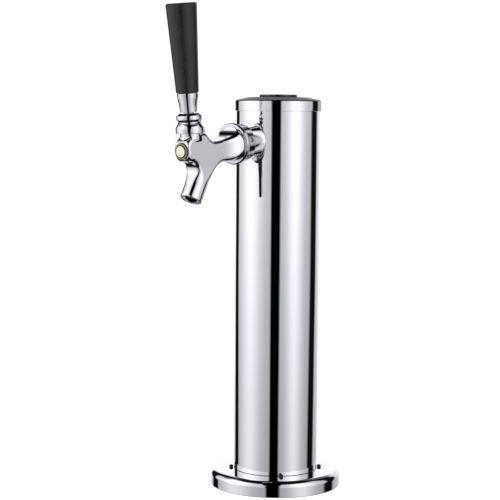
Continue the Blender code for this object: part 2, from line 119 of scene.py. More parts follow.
class Nodes:
    """Small helper that adds and links shader nodes."""

    def __init__(self, tree):
        self.tree = tree

    def add(self, kind, **settings):
        node = self.tree.nodes.new(kind)
        for key, value in settings.items():
            setattr(node, key, value)
        return node

    def link(self, source, target):
        self.tree.links.new(source, target)

    def feed(self, socket, value):
        if isinstance(value, bpy.types.NodeSocket):
            self.link(value, socket)
        else:
            socket.default_value = value

    def math(self, operation, a, b=0.0, c=0.0):
        node = self.add("ShaderNodeMath", operation=operation)
        for socket, value in zip(node.inputs, (a, b, c)):
            self.feed(socket, value)
        return node.outputs[0]

    def step(self, value, low, high, first=0.0, last=1.0):
        """first where value is below low, last above high, and a smooth run between."""
        node = self.add("ShaderNodeMapRange", interpolation_type="SMOOTHSTEP")
        for key, fed in (("Value", value), ("From Min", low), ("From Max", high),
                         ("To Min", first), ("To Max", last)):
            self.feed(node.inputs[key], fed)
        return node.outputs["Result"]

    def mix(self, share, a, b):
        node = self.add("ShaderNodeMix", data_type="RGBA")
        for key, fed in ((0, share), (6, a), (7, b)):
            self.feed(node.inputs[key], fed)
        return node.outputs[2]

    def noise(self, where, scale, detail=2.0, roughness=0.5, distortion=0.0):
        node = self.add("ShaderNodeTexNoise")
        for key, fed in (("Vector", where), ("Scale", scale), ("Detail", detail),
                         ("Roughness", roughness), ("Distortion", distortion)):
            self.feed(node.inputs[key], fed)
        return node.outputs["Fac"]


# The light tent, by azimuth from the camera's direction, positive to the camera's right. Panels add
# light: centre, width, brightness. Flags take it away: centre, half width, soft edge, darkness.
TENT_BASE = 0.51
PANELS = ((-78, 34, 0.62), (50, 24, 0.59), (180, 40, 0.45))
FLAGS = ((-4.6, 12.9, 6, 1.0), (119, 15, 11, 0.99), (-144.5, 13.5, 6, 0.99))
FRONT_TOP = 50                  # elevation at which the panels end, in degrees
BACK_TOP = 30                   # and at which the sweep behind the tower turns dark
FLAG_LEAN = 0.008               # how much the flags draw in, per degree
LEAN_FROM = 6.0                 # below this many degrees under the horizon
LEAN_MOST = 1.1                 # and never by more than this factor
SLIT_HALF = 0.24                # half width over distance of the dark gap overhead
SLIT_ASIDE = 0.08               # how far that gap stands to the camera's left
SLIT_EDGE = 0.03
BACK_CENTRE = -5                # the part behind the tower starts this far round from here
BACK_EDGE = (98.0, 112.0)
LOW_FADE = (-42.0, -27.0)       # elevations between which the tent fades out below
TENT_TINT = (0.96, 0.965, 1.015)
BACKDROP = 1.05                 # brightness of the white that only the camera sees


def studio():
    """A pale tent: bright panels at both sides, black gaps between them, and a dark ceiling."""
    world = bpy.data.worlds.new("studio")
    bpy.context.scene.world = world
    world.use_nodes = True
    tree = world.node_tree
    tree.nodes.clear()
    n = Nodes(tree)
    split = n.add("ShaderNodeSeparateXYZ")
    n.link(n.add("ShaderNodeTexCoord").outputs["Generated"], split.inputs[0])
    x, y, z = split.outputs
    sin_a, cos_a = math.sin(VIEW_AZIMUTH), math.cos(VIEW_AZIMUTH)
    ahead = n.math("ADD", n.math("MULTIPLY", x, sin_a), n.math("MULTIPLY", y, -cos_a))
    right = n.math("ADD", n.math("MULTIPLY", x, cos_a), n.math("MULTIPLY", y, sin_a))
    azimuth = n.math("DEGREES", n.math("ARCTAN2", right, ahead))
    level = n.math("SQRT", n.math("ADD", n.math("POWER", ahead, 2.0), n.math("POWER", right, 2.0)))
    height = n.math("DEGREES", n.math("ARCTAN2", z, level))

    below = n.math("MINIMUM", n.math("ADD", height, LEAN_FROM), 0.0)
    lean = n.math("MINIMUM", n.math("MULTIPLY_ADD", below, -FLAG_LEAN, 1.0), LEAN_MOST)

    def away_from(centre, spread=1.0):
        place = n.math("MULTIPLY", azimuth, spread)
        turned = n.math("WRAP", n.math("SUBTRACT", place, float(centre)), 180.0, -180.0)
        return n.math("ABSOLUTE", turned)

    light = TENT_BASE
    for centre, width, gain in PANELS:
        lobe = n.math("POWER", n.math("DIVIDE", away_from(centre), float(width)), 2.0)
        lobe = n.math("EXPONENT", n.math("MULTIPLY", lobe, -1.0))
        light = n.math("MULTIPLY_ADD", lobe, gain, light)
    light = n.math("MULTIPLY", light, n.step(height, -16.0, 2.0, 0.75, 1.14))
    for centre, half, edge, depth in FLAGS:
        flag = n.step(away_from(centre, lean), half - edge / 2, half + edge / 2, 1.0 - depth, 1.0)
        light = n.math("MULTIPLY", light, flag)
    aside = n.math("ABSOLUTE", n.math("ADD", right, SLIT_ASIDE))
    slit = n.step(aside, SLIT_HALF - SLIT_EDGE, SLIT_HALF + SLIT_EDGE)
    overhead = n.step(height, 24.0, 34.0)
    front = n.step(ahead, -0.25, 0.05)
    gap = n.math("MULTIPLY", overhead, n.math("MULTIPLY", n.math("SUBTRACT", 1.0, slit), front))
    light = n.math("MULTIPLY", light, n.math("SUBTRACT", 1.0, gap))
    front_light = n.step(height, FRONT_TOP - 4.0, FRONT_TOP + 4.0, 1.0, 0.01)
    back_light = n.math("MULTIPLY", n.step(height, BACK_TOP - 6.0, BACK_TOP + 5.0, 1.0, 0.16),
                        n.step(height, 50.0, 60.0, 1.0, 0.08))
    behind = n.step(away_from(BACK_CENTRE), *BACK_EDGE)
    ceiling = n.math("ADD", n.math("MULTIPLY", front_light, n.math("SUBTRACT", 1.0, behind)),
                     n.math("MULTIPLY", back_light, behind))
    light = n.math("MULTIPLY", light, ceiling)
    light = n.math("MULTIPLY", light, n.step(height, *LOW_FADE, 0.03, 1.0))

    colour = n.add("ShaderNodeCombineColor")
    for socket, tint in zip(colour.inputs, TENT_TINT):
        n.link(n.math("MULTIPLY", light, tint), socket)
    tent = n.add("ShaderNodeBackground")
    n.link(colour.outputs[0], tent.inputs["Color"])
    plain = n.add("ShaderNodeBackground")
    plain.inputs["Color"].default_value = (1, 1, 1, 1)
    plain.inputs["Strength"].default_value = BACKDROP
    rays = n.add("ShaderNodeLightPath")
    shown = n.add("ShaderNodeMixShader")
    n.link(rays.outputs["Is Camera Ray"], shown.inputs[0])
    n.link(tent.outputs[0], shown.inputs[1])
    n.link(plain.outputs[0], shown.inputs[2])
    n.link(shown.outputs[0], n.add("ShaderNodeOutputWorld").inputs["Surface"])
    bpy.context.scene.view_settings.view_transform = "Standard"


def make_floor():
    """A pale sweep that the mirror-bright pieces don't pick up, as under a cut-out product."""
    mesh = bpy.data.meshes.new("floor")
    half = 6.0
    mesh.from_pydata([(-half, -half, 0), (half, -half, 0), (half, half, 0), (-half, half, 0)], [],
                     [(0, 1, 2, 3)])
    floor = bpy.data.objects.new("floor", mesh)
    bpy.context.scene.collection.objects.link(floor)
    material = bpy.data.materials.new("pale_floor")
    material.use_nodes = True
    shader = material.node_tree.nodes["Principled BSDF"]
    shader.inputs["Base Color"].default_value = (0.86, 0.86, 0.86, 1)
    shader.inputs["Roughness"].default_value = 0.9
    shader.inputs["Specular IOR Level"].default_value = 0.0
    shader.inputs["Emission Color"].default_value = (1, 1, 1, 1)
    shader.inputs["Emission Strength"].default_value = 0.80
    mesh.materials.append(material)
    floor.visible_glossy = False


# ---- materials ---------------------------------------------------------------------------------

def new_material(name):
    material = bpy.data.materials.new(name)
    material.use_nodes = True
    shader = material.node_tree.nodes["Principled BSDF"]
    return material, Nodes(material.node_tree), shader


def object_point(n):
    """Coordinates of the piece itself, in metres, which stay with it when it moves."""
    return n.add("ShaderNodeTexCoord").outputs["Object"]


def bump(n, shader, height, distance, strength=1.0):
    node = n.add("ShaderNodeBump")
    node.inputs["Strength"].default_value = strength
    node.inputs["Distance"].default_value = distance
    n.link(height, node.inputs["Height"])
    n.link(node.outputs["Normal"], shader.inputs["Normal"])


def chrome(name="polished_chrome", colour=(0.90, 0.905, 0.915), rough=(0.012, 0.05), waviness=0.00001):
    """Bright plate with faint polishing waves, wipe marks and a slightly duller film here and there."""
    material, n, shader = new_material(name)
    where = object_point(n)
    film = n.noise(where, 38.0, 4.0, 0.6)
    stretch = n.add("ShaderNodeMapping")
    stretch.inputs["Scale"].default_value = (260, 260, 34)
    n.link(where, stretch.inputs["Vector"])
    wipes = n.noise(stretch.outputs[0], 3.0, 3.0, 0.65)
    dull = n.math("MULTIPLY", n.step(film, 0.45, 0.75), n.step(wipes, 0.40, 0.75))
    n.link(n.step(dull, 0.0, 1.0, *rough), shader.inputs["Roughness"])
    tinted = tuple(c * 0.965 for c in colour)
    n.link(n.mix(dull, (*colour, 1), (*tinted, 1)), shader.inputs["Base Color"])
    shader.inputs["Metallic"].default_value = 1.0
    bump(n, shader, n.noise(where, 90.0, 1.0), waviness, 0.5)
    return material


SATIN_TINT = (0.45, 0.45, 0.46, 1)
PAINTED_REFLECTION_RADII = (0.022, 0.040)    # metres from the axis, between which the top's painted reflection goes from dark to lighter grey
PAINTED_REFLECTION_GREYS = (0.08, 0.25)     # and the painted reflection's grey at each


def satin_painted_reflection_top(name, edge_z):
    """Chrome whose top, above a given height in metres, is brushed to a rougher satin finish and given a
    painted reflection: a dark grey base colour, darkest near the middle.
    """
    material = chrome(name)
    n = Nodes(material.node_tree)
    shader = material.node_tree.nodes["Principled BSDF"]
    polished = shader.inputs["Base Color"].links[0].from_socket
    gloss = shader.inputs["Roughness"].links[0].from_socket
    split = n.add("ShaderNodeSeparateXYZ")
    n.link(object_point(n), split.inputs[0])
    x, y, z = split.outputs
    reach = n.math("SQRT", n.math("ADD", n.math("POWER", x, 2.0),
                                  n.math("POWER", n.math("SUBTRACT", y, COLUMN_XY.y), 2.0)))
    brushed = n.noise(object_point(n), 900.0, 3.0, 0.7)
    # Painted reflection: the top's base colour is dark grey, darkest near the axis, standing in for the dark
    # ceiling it mirrors; the noise added to it is brushing grain
    shade = n.math("MULTIPLY_ADD", brushed, 0.05, n.step(reach, *PAINTED_REFLECTION_RADII, *PAINTED_REFLECTION_GREYS))
    grey = n.add("ShaderNodeCombineColor")
    for socket in grey.inputs:
        n.link(shade, socket)
    shader.inputs["Specular Tint"].default_value = SATIN_TINT
    top = n.step(z, edge_z - 0.0002, edge_z + 0.0003)
    n.link(n.mix(top, polished, grey.outputs[0]), shader.inputs["Base Color"])
    n.link(n.math("MULTIPLY_ADD", top, 0.22, gloss), shader.inputs["Roughness"])
    return material


def machined(name, colour, dark, rough, lines=1800.0, depth=0.000006):
    """Turned or rolled metal: fine tool lines round the piece, stains and darker pits."""
    material, n, shader = new_material(name)
    where = object_point(n)
    stretch = n.add("ShaderNodeMapping")
    stretch.inputs["Scale"].default_value = (60, lines, 60)
    n.link(where, stretch.inputs["Vector"])
    cuts = n.noise(stretch.outputs[0], 1.0, 2.0, 0.7)
    stains = n.noise(where, 160.0, 5.0, 0.65)
    n.link(n.mix(n.step(stains, 0.42, 0.72), (*colour, 1), (*dark, 1)), shader.inputs["Base Color"])
    n.link(n.step(n.math("ADD", n.math("MULTIPLY", cuts, 0.5), n.math("MULTIPLY", stains, 0.5)),
                  0.3, 0.7, rough * 0.75, rough * 1.3), shader.inputs["Roughness"])
    shader.inputs["Metallic"].default_value = 1.0
    bump(n, shader, cuts, depth, 0.7)
    return material


def moulded(name, colour, paler, rough, grain=1500.0, depth=0.000012):
    """Moulded plastic or rubber with a fine spark-eroded grain, flow marks and rubbed patches."""
    material, n, shader = new_material(name)
    where = object_point(n)
    flow = n.noise(where, 55.0, 3.0, 0.6, 0.6)
    fine = n.noise(where, grain, 2.0, 0.7)
    n.link(n.mix(n.step(flow, 0.35, 0.75), (*colour, 1), (*paler, 1)), shader.inputs["Base Color"])
    n.link(n.step(flow, 0.3, 0.8, rough * 0.85, rough * 1.2), shader.inputs["Roughness"])
    bump(n, shader, fine, depth, 0.6)
    return material


CHROME = chrome()
DULL_CHROME = chrome("handled_chrome", (0.72, 0.725, 0.75), (0.09, 0.15))
STEEL = machined("machined_steel", (0.60, 0.60, 0.61), (0.40, 0.40, 0.41), 0.26)
SCREW_STEEL = machined("dark_screw_steel", (0.07, 0.07, 0.075), (0.03, 0.03, 0.035), 0.36)
BRASS = machined("machined_brass", (0.83, 0.66, 0.36), (0.55, 0.40, 0.20), 0.24)
PALE_BRASS = machined("faced_brass_end", (0.94, 0.88, 0.70), (0.86, 0.78, 0.58), 0.20)
# A dark brown-grey metal for the nose bushing, much darker than the brass pieces
BRONZE = machined("dark_bronze", (0.34, 0.30, 0.22), (0.22, 0.18, 0.12), 0.30)
BLACK = moulded("satin_black_plastic", (0.012, 0.012, 0.014), (0.018, 0.018, 0.021), 0.30)
RUBBER = moulded("black_rubber", (0.022, 0.022, 0.022), (0.040, 0.040, 0.038), 0.72, 900.0, 0.00003)
NYLON = moulded("natural_nylon", (0.80, 0.79, 0.74), (0.72, 0.70, 0.63), 0.45)


# ---- turned pieces -----------------------------------------------------------------------------

def link_piece(name, mesh, matrix, material, body, replaced):
    piece = bpy.data.objects.new(name, mesh)
    bpy.context.scene.collection.objects.link(piece)
    mesh.transform(matrix)
    mesh.materials.append(material)
    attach(piece, body)
    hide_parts(*replaced)


def rounded(profile, fine=5):
    """Short straight runs of a profile, as (start, end, start normal, end normal).

    Each profile point is (radius, height) or (radius, height, fillet). The points run down the
    outer side and up the inner side, so the outward normal lies to the left of each run.
    """
    count = len(profile)
    closed = profile[0][0] > 0
    points = [np.array(p[:2], float) for p in profile]
    fillets = [p[2] if len(p) > 2 else 0.0 for p in profile]
    corners = []
    for i in range(count):
        here = points[i]
        if fillets[i] <= 0 or (not closed and i in (0, count - 1)):
            corners.append([here])
            continue
        back, on = points[i - 1] - here, points[(i + 1) % count] - here
        room = min(np.linalg.norm(back), np.linalg.norm(on)) * 0.49
        back, on = back / np.linalg.norm(back), on / np.linalg.norm(on)
        half = math.acos(np.clip(back @ on, -1, 1)) / 2
        reach = min(fillets[i] / math.tan(half), room)
        radius = reach * math.tan(half)
        centre = here + (back + on) / np.linalg.norm(back + on) * radius / math.sin(half)
        first, last = here + back * reach - centre, here + on * reach - centre
        turn = math.atan2(first[0] * last[1] - first[1] * last[0], first @ last)
        sweep = [np.array([[math.cos(a), -math.sin(a)], [math.sin(a), math.cos(a)]]) @ first
                 for a in np.linspace(0, turn, fine + 1)]
        side = -1 if turn > 0 else 1
        corners.append([(centre + s, side * s / radius) for s in sweep])
    runs = []
    for i, corner in enumerate(corners):
        for (a, na), (b, nb) in zip(corner, corner[1:]):
            runs.append((a, b, na, nb))
        if i == count - 1 and not closed:
            break
        after = corners[(i + 1) % count]
        a = corner[-1][0] if isinstance(corner[-1], tuple) else corner[-1]
        b = after[0][0] if isinstance(after[0], tuple) else after[0]
        along = b - a
        if np.linalg.norm(along) < 1e-6:
            continue
        normal = np.array([-along[1], along[0]]) / np.linalg.norm(along)
        runs.append((a, b, normal, normal))
    return runs


def lathe_mesh(name, profile, steps, fine=5):
    """A profile turned about Z, with the exact normals of its flats and fillets."""
    runs = rounded(profile, fine)
    closed = profile[0][0] > 0
    rows = [run[0] for run in runs]
    if not closed:
        rows.append(runs[-1][1])
    turns = np.linspace(0, 2 * math.pi, steps, endpoint=False)
    verts, row_verts = [], []
    for radius, height in rows:
        if radius < 1e-9:
            row_verts.append([len(verts)] * steps)
            verts.append((0.0, 0.0, height))
        else:
            row_verts.append(list(range(len(verts), len(verts) + steps)))
            verts += [(radius * math.cos(t), radius * math.sin(t), height) for t in turns]
    faces, normals = [], []
    for i, (start, end, n_start, n_end) in enumerate(runs):
        top, low = row_verts[i], row_verts[(i + 1) % len(rows)]
        for k in range(steps):
            j = (k + 1) % steps
            around = [(top[k], n_start, k), (low[k], n_end, k), (low[j], n_end, j), (top[j], n_start, j)]
            if start[0] < 1e-9:
                around.pop(3)
            elif end[0] < 1e-9:
                around.pop(2)
            faces.append([v for v, _, _ in around])
            normals += [(m[0] * math.cos(turns[s]), m[0] * math.sin(turns[s]), m[1])
                        for _, m, s in around]
    mesh = bpy.data.meshes.new(name)
    mesh.from_pydata(verts, [], faces)
    mesh.shade_smooth()
    mesh.normals_split_custom_set(normals)
    return mesh


def turned(name, profile, matrix, material, body, slot, steps=128, fine=5):
    mesh = lathe_mesh(name, profile, steps, fine)
    link_piece(name, mesh, matrix, material, body, [name.removesuffix("_fine")])


def arc(radius, first, last, points, centre=0.0):
    """(radius, height) points on a circle about (0, centre), by angle from the Z axis in degrees."""
    angles = np.radians(np.linspace(first, last, points))
    return [(radius * math.sin(a), centre + radius * math.cos(a)) for a in angles]


# ---- blended pieces from distance fields -------------------------------------------------------

def smooth_min(a, b, k):
    """The nearer of two fields, with a fillet about k wide where they meet."""
    h = np.maximum(k - np.abs(a - b), 0.0) / k
    return np.minimum(a, b) - h * h * k / 4


def smooth_max(a, b, k):
    return -smooth_min(-a, -b, k)


def round_bar(a, b, along, radius, low, high, edge):
    """A cylinder: a and b are the coordinates across its axis, with a rounded edge."""
    return smooth_max(np.hypot(a, b) - radius, np.maximum(low - along, along - high), edge)


def bent_bar(points, route):
    """Distance to a bar along (x, y, z, radius) points."""
    best = np.full(len(points), 1e9)
    for start, end in zip(route, route[1:]):
        a, along = start[:3], end[:3] - start[:3]
        share = np.clip(((points - a) @ along) / (along @ along), 0, 1)
        gap = np.linalg.norm(points - a - share[:, None] * along, axis=1)
        best = np.minimum(best, gap - start[3] - share * (end[3] - start[3]))
    return best


def flat_shape(a, b, outline):
    """Signed distance to a polygon in the a-b plane."""
    best = np.full(len(a), 1e18)
    inside = np.zeros(len(a), bool)
    for (pa, pb), (qa, qb) in zip(outline, outline[1:] + outline[:1]):
        ea, eb, wa, wb = qa - pa, qb - pb, a - pa, b - pb
        share = np.clip((wa * ea + wb * eb) / (ea * ea + eb * eb), 0, 1)
        best = np.minimum(best, (wa - ea * share) ** 2 + (wb - eb * share) ** 2)
        crosses = (pb > b) != (qb > b)
        with np.errstate(divide="ignore", invalid="ignore"):
            inside ^= crosses & (a < (qa - pa) * (b - pb) / (qb - pb) + pa)
    return np.where(inside, -1, 1) * np.sqrt(best)


def smooth_route(points, per_span):
    """Catmull-Rom points through a route, whose columns may be any values."""
    p = np.array([points[0], *points, points[-1]], float)
    p[0] = 2 * p[1] - p[2]
    p[-1] = 2 * p[-2] - p[-3]
    out = []
    for i in range(1, len(p) - 2):
        for t in np.linspace(0, 1, per_span, endpoint=False):
            out.append(0.5 * (2 * p[i] + (p[i + 1] - p[i - 1]) * t
                              + (2 * p[i - 1] - 5 * p[i] + 4 * p[i + 1] - p[i + 2]) * t * t
                              + (3 * p[i] - p[i - 1] - 3 * p[i + 1] + p[i + 2]) * t ** 3))
    out.append(p[-2])
    return np.array(out)


def field_slope(field, points, reach=0.15):
    slope = np.empty_like(points)
    for axis in range(3):
        shift = np.zeros(3)
        shift[axis] = reach
        slope[:, axis] = (field(points + shift) - field(points - shift)) / (2 * reach)
    return slope


def field_grid(field, low, high, size, coarse=4):
    """The field on a grid of points, worked out in full only near its surface."""
    counts = [int(math.ceil((h - l) / size / coarse)) * coarse for l, h in zip(low, high)]
    axes = [l + size * np.arange(c + 1) for l, c in zip(low, counts)]
    rough_axes = [a[::coarse] for a in axes]
    grid = np.stack(np.meshgrid(*rough_axes, indexing="ij"), -1).reshape(-1, 3)
    rough = field(grid).reshape([len(a) for a in rough_axes])
    near = np.abs(rough) < size * coarse * 1.8
    values = np.repeat(np.repeat(np.repeat(rough, coarse, 0), coarse, 1), coarse, 2)
    wanted = np.repeat(np.repeat(np.repeat(near, coarse, 0), coarse, 1), coarse, 2)
    spread = np.zeros_like(wanted)
    for shift in (0, coarse):
        for other in (0, coarse):
            for third in (0, coarse):
                moved = np.roll(wanted, (-shift, -other, -third), (0, 1, 2))
                spread |= moved
    cut = tuple(slice(0, c + 1) for c in counts)
    values, wanted = values[cut], spread[cut]
    index = np.argwhere(wanted)
    points = np.stack([axes[d][index[:, d]] for d in range(3)], 1)
    values[wanted] = field(points)
    return values, axes


def field_mesh(name, field, low, high, size):
    """A closed quad mesh of the field's zero surface, with the field's own normals."""
    values, axes = field_grid(field, low, high, size)
    inside = values < 0
    corner = [inside[i:inside.shape[0] - 1 + i, j:inside.shape[1] - 1 + j, k:inside.shape[2] - 1 + k]
              for i in (0, 1) for j in (0, 1) for k in (0, 1)]
    total = sum(c.astype(np.int8) for c in corner)
    cells = np.argwhere((total > 0) & (total < 8))
    number = np.full(total.shape, -1, np.int64)
    number[tuple(cells.T)] = np.arange(len(cells))
    sums, hits = np.zeros((len(cells), 3)), np.zeros(len(cells))
    offsets = [np.array([i, j, k]) for i in (0, 1) for j in (0, 1) for k in (0, 1)]
    for a in offsets:
        for axis in range(3):
            if a[axis]:
                continue
            b = a.copy()
            b[axis] = 1
            va, vb = values[tuple((cells + a).T)], values[tuple((cells + b).T)]
            crossed = (va < 0) != (vb < 0)
            share = np.where(crossed, va / np.where(crossed, va - vb, 1.0), 0.0)
            point = cells + a + share[:, None] * (b - a)
            sums[crossed] += point[crossed]
            hits[crossed] += 1
    verts = np.array([a[0] for a in axes]) + sums / hits[:, None] * size
    for _ in range(3):
        slope = field_slope(field, verts)
        steep = np.maximum((slope ** 2).sum(1), 0.2)
        move = slope * (field(verts) / steep)[:, None]
        length = np.linalg.norm(move, axis=1)[:, None]
        verts -= move * np.minimum(1.0, 0.5 * size / np.maximum(length, 1e-12))
    quads = []
    for axis in range(3):
        one, two = [d for d in range(3) if d != axis]
        low_end = [slice(1, -1)] * 3
        high_end = [slice(1, -1)] * 3
        low_end[axis], high_end[axis] = slice(0, -1), slice(1, None)
        first, second = inside[tuple(low_end)], inside[tuple(high_end)]
        for starts_inside in (True, False):
            found = np.argwhere((first != second) & (first == starts_inside))
            found[:, one] += 1
            found[:, two] += 1
            around = []
            for step_one, step_two in ((1, 1), (0, 1), (0, 0), (1, 0)):
                cell = found.copy()
                cell[:, one] -= step_one
                cell[:, two] -= step_two
                around.append(number[tuple(cell.T)])
            quad = np.stack(around, 1)
            forwards = starts_inside != (axis == 1)
            quads.append(quad if forwards else quad[:, ::-1])
    quads = np.concatenate(quads)
    mesh = bpy.data.meshes.new(name)
    mesh.vertices.add(len(verts))
    mesh.vertices.foreach_set("co", verts.astype(np.float32).ravel())
    mesh.loops.add(len(quads) * 4)
    mesh.loops.foreach_set("vertex_index", quads.astype(np.int32).ravel())
    mesh.polygons.add(len(quads))
    mesh.polygons.foreach_set("loop_start", np.arange(0, len(quads) * 4, 4, dtype=np.int32))
    mesh.update(calc_edges=True)
    mesh.validate()
    mesh.shade_smooth()
    slope = field_slope(field, verts)
    mesh.normals_split_custom_set_from_vertices(slope / np.linalg.norm(slope, axis=1)[:, None])
    return mesh


# ---- column, flange, cap -----------------------------------------------------------------------

FLANGE_LOW, FLANGE_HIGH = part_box("base_flange")
FLANGE_R = (FLANGE_HIGH.x - FLANGE_LOW.x) / 2 / MM
FLANGE_TOP_Z = 14.8
FLANGE_FILLET = 5.8
SPIGOT_TOP_Z = 24.5
CAP_LOW, CAP_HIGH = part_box("top_cap")
CAP_R = (CAP_HIGH.x - CAP_LOW.x) / 2 / MM
CAP_TOP_Z = CAP_HIGH.z / MM
COLUMN_TOP_Z = COLUMN_HIGH.z / MM
COLUMN_FOOT_Z = COLUMN_LOW.z / MM
COLUMN_INNER_R = COLUMN_R - 1.2
DRAWN_TOP_Z = COLUMN_TOP_Z + 0.18   # drawn higher than in the CAD model, so that the seam is faint
SEAM_Z = COLUMN_TOP_Z + 0.28        # the cap's lower edge
FLANGE_WALL = 3.5
LINE_HOLE_R = 33.0


def column_tube():
    profile = [(COLUMN_R, DRAWN_TOP_Z, 0.1), (COLUMN_R, COLUMN_FOOT_Z, 0.2),
               (COLUMN_INNER_R, COLUMN_FOOT_Z), (COLUMN_INNER_R, DRAWN_TOP_Z, 0.1)]
    turned("column_tube_fine", profile, COLUMN, CHROME, "tower", "chrome", 256)


def base_flange():
    gasket_low, gasket_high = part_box("base_gasket")
    ledge_z = gasket_high.z / MM + 0.3
    ledge_r = (gasket_high.x - gasket_low.x) / 2 / MM - 6.0
    top, under, spigot_r = FLANGE_TOP_Z, FLANGE_TOP_Z - FLANGE_WALL, COLUMN_INNER_R - 0.3
    rim_r = FLANGE_R - FLANGE_WALL
    profile = [(spigot_r, SPIGOT_TOP_Z, 0.4), (spigot_r, top, 0.2), (FLANGE_R, top - 0.35, FLANGE_FILLET),
               (FLANGE_R, 0, 0.5), (rim_r, 0, 0.4), (rim_r, ledge_z), (ledge_r, ledge_z, 0.4),
               (ledge_r, under, 3.0), (LINE_HOLE_R, under, 0.4),
               (LINE_HOLE_R, SPIGOT_TOP_Z, 0.4)]
    turned("base_flange_fine", profile, COLUMN, CHROME, "tower", "chrome", 256, fine=14)


def base_gasket():
    low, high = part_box("base_gasket")
    outer, thick = (high.x - low.x) / 2 / MM, high.z / MM
    inner = outer - 5.7
    turned("base_gasket_fine", [(outer, thick, 0.3), (outer, 0, 0.3), (inner, 0, 0.3), (inner, thick, 0.3)],
           COLUMN, RUBBER, "tower", "rubber", 192)


def top_cap():
    seam = SEAM_Z
    lip_r = COLUMN_INNER_R - 0.6
    plug_r = lip_r - 1.7
    rim, disc_r = CAP_TOP_Z - 5.9, 17.0
    disc_foot = CAP_TOP_Z - 2.1
    profile = [(0, CAP_TOP_Z), (disc_r, CAP_TOP_Z, 1.3), (disc_r, disc_foot, 1.0),
               (27.5, disc_foot - 0.3, 14),
               (CAP_R - 0.8, rim + 0.9, 0.8), (CAP_R, rim, 0.6), (CAP_R, seam, 0.12),
               (lip_r, seam), (lip_r, seam - 3.0, 0.3), (plug_r, seam - 3.0, 0.3),
               (plug_r, seam - 7.0, 0.3), (lip_r, seam - 7.0, 0.3), (lip_r, seam - 8.5, 0.3),
               (plug_r - 2.6, seam - 8.5, 0.3), (plug_r - 2.6, rim - 3.0, 2.0),
               (20.0, disc_foot - 3.4, 4.0), (0, disc_foot - 3.0)]
    # The cap's top is rougher satin with a painted reflection, a dark grey base colour
    satin = satin_painted_reflection_top("satin_painted_reflection_top_chrome", (rim - 0.1) * MM)
    turned("top_cap_fine", profile, COLUMN, satin, "top_cap", "chrome", 256, fine=8)
    ring_r, wire = (plug_r + COLUMN_INNER_R) / 2, (COLUMN_INNER_R - plug_r) / 2 - 0.3
    ring = [(ring_r + r, seam - 5.0 + z) for r, z in arc(wire, 0, 345, 24)]
    turned("cap_seal_fine", ring, COLUMN, RUBBER, "top_cap", "rubber", 128)


# ---- faucet ------------------------------------------------------------------------------------

NUT_FRONT = 64.2
NUT_REAR = 50.7
NECK_R = 9.6
WEB_HALF = 8.6
SPOUT_END = (-42.4, 120.9)


def shank_collar():
    """A ring whose rear end follows the column's side."""
    mesh = lathe_mesh("shank_collar_fine", [(15.0, 50.1, 0.5), (15.0, 30.0), (13.0, 30.0), (13.0, 50.1)], 160)
    to_column = COLUMN.inverted() @ FAUCET
    for vert in mesh.vertices:
        if vert.co.z > 31.0:
            continue
        start = to_column @ vert.co
        along = to_column.to_3x3() @ Vector((0, 0, 1))
        a = along.x ** 2 + along.y ** 2
        b = start.x * along.x + start.y * along.y
        c = start.x ** 2 + start.y ** 2 - (COLUMN_R + 0.25) ** 2
        vert.co.z += (-b + math.sqrt(b * b - a * c)) / a
    link_piece("shank_collar_fine", mesh, FAUCET, CHROME, "tower", ["shank_collar"])


def nut_field(p):
    x, y, z = p.T
    r = np.hypot(x, y)
    body = round_bar(x, y, z, 16.8, NUT_REAR, NUT_FRONT - 1.0, 0.8)
    rim = round_bar(x, y, z, 18.4, NUT_FRONT - 3.9, NUT_FRONT, 2.2)
    field = smooth_min(body, rim, 1.6)
    field = smooth_max(field, 13.6 - r, 0.4)
    field = np.maximum(field, -np.maximum(r - 14.6, z - 60.9))
    for number in range(6):
        turn = math.radians(12 + 60 * number)
        side = -x * math.sin(turn) + y * math.cos(turn)
        out = x * math.cos(turn) + y * math.sin(turn)
        hole = np.maximum(np.hypot(side, z - NUT_REAR - 4.6) - 2.2, 15.3 - out)
        field = smooth_max(field, -hole, 0.35)
    return field


# Side view of the body as (forward, up) points: over the flare and web to the nose, down the
# front of the spout, and back up its rear side to the flare.
BODY_OUTLINE = [(64.4, 15.4), (65.4, 13.2), (67.8, 10.6), (72.0, 8.2), (79.0, 6.4), (85.0, 5.6),
                (91.0, 5.6), (96.0, 6.6), (99.8, 8.8), (102.6, 12.2), (106.0, 14.0), (116.0, 14.2),
                (122.5, 12.0), (127.0, 8.6), (129.4, 4.5), (129.6, 0.0), (129.2, -4.5), (126.2, -8.4),
                (121.2, -10.2), (117.8, -13.2), (116.6, -17.2), (117.6, -20.6), (120.4, -24.6),
                (129.0, -37.6), (133.0, -43.8),
                (116.8, -54.0), (112.8, -47.8), (104.3, -34.4), (98.4, -24.8), (94.2, -18.6), (88.0, -14.6),
                (80.0, -13.4), (72.0, -13.4), (66.0, -14.6), (64.4, -15.4), (60.0, -15.4), (60.0, 15.4)]
OUTLINE_CELL = 0.15             # grid on which the side view's distances are kept


def closed_curve(points, per_span=8):
    """Catmull-Rom points round a closed outline."""
    p = np.array(points, float)
    before, after, beyond = np.roll(p, 1, 0), np.roll(p, -1, 0), np.roll(p, -2, 0)
    spans = []
    for t in np.arange(per_span) / per_span:
        spans.append(0.5 * (2 * p + (after - before) * t + (2 * before - 5 * p + 4 * after - beyond) * t * t
                            + (3 * p - before - 3 * after + beyond) * t ** 3))
    return np.stack(spans, 1).reshape(-1, 2)


